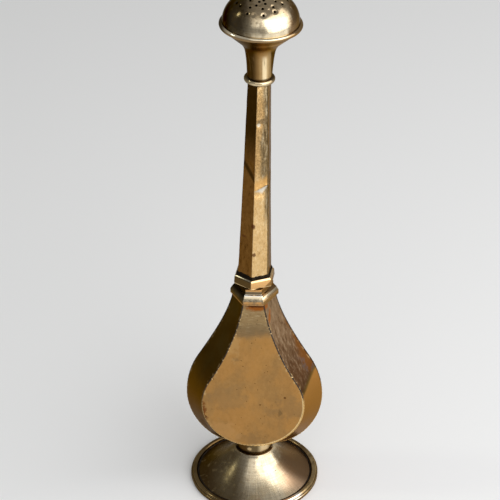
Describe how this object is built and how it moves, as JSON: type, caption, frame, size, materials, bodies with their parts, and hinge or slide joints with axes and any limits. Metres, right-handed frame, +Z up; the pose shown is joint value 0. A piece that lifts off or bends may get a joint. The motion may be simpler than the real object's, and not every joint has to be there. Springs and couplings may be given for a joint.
{
  "type": "rosewater sprinkler",
  "caption": "Flattened hexagonal brass bottle on a round foot, with a long six-sided neck that screws off and ends in a pierced round rose for sprinkling.",
  "frame": {"origin": "centre of the foot's base, where it stands", "axes": "+Z up along the bottle, -Y out of the broad front panel, +X towards the bottle's right narrow edge as seen from the front"},
  "size_m": [0.071, 0.068, 0.2818],
  "materials": {
    "foot_brass": "spun and rubbed, satin, with a dark groove",
    "cast_brass": "cast and filed, satin, dark in the corners",
    "front_sheet": "even golden brown satin with fine scratches",
    "back_sheet": "golden brown satin",
    "side_sheet": "brushed, with rust-brown tarnish along the seams",
    "thread_brass": "turned, bright",
    "neck_sheet": "rubbed, bright in front and brown at the sides",
    "rose_brass": "spun, satin, bright where pierced",
    "leather": "oiled, compressed"
  },
  "bodies": {
    "bottle": {"foot_rim": "foot_brass", "foot_cone": "foot_brass", "foot_knop": "cast_brass", "front_panel": "front_sheet", "back_panel": "back_sheet", "front_right_side": "side_sheet", "front_left_side": "side_sheet", "back_right_side": "side_sheet", "back_left_side": "side_sheet", "body_collar": "cast_brass", "screw_socket": "thread_brass"},
    "washer": {"neck_washer": "leather"},
    "neck": {"neck_plug": "thread_brass", "neck_collar": "cast_brass", "neck_tube": "neck_sheet", "rose_sleeve": "thread_brass", "neck_ring": "cast_brass", "rose_cup": "rose_brass", "rose_seam_wire": "cast_brass", "rose_dome": "rose_brass"}
  },
  "joints": [
    {"name": "neck_lift", "type": "slide", "parent": "bottle", "child": "washer", "axis": [0, 0, 1], "range_m": [0, 0.0061]},
    {"name": "neck_screw", "type": "hinge", "parent": "washer", "child": "neck", "pos_m": [0, 0, 0.12365], "axis": [0, 0, 1], "range_deg": [0, 1440]}
  ],
  "couplings": [
    {"joint": "neck_lift", "follows": "neck_screw", "m_per_rad": 0.0002387}
  ]
}
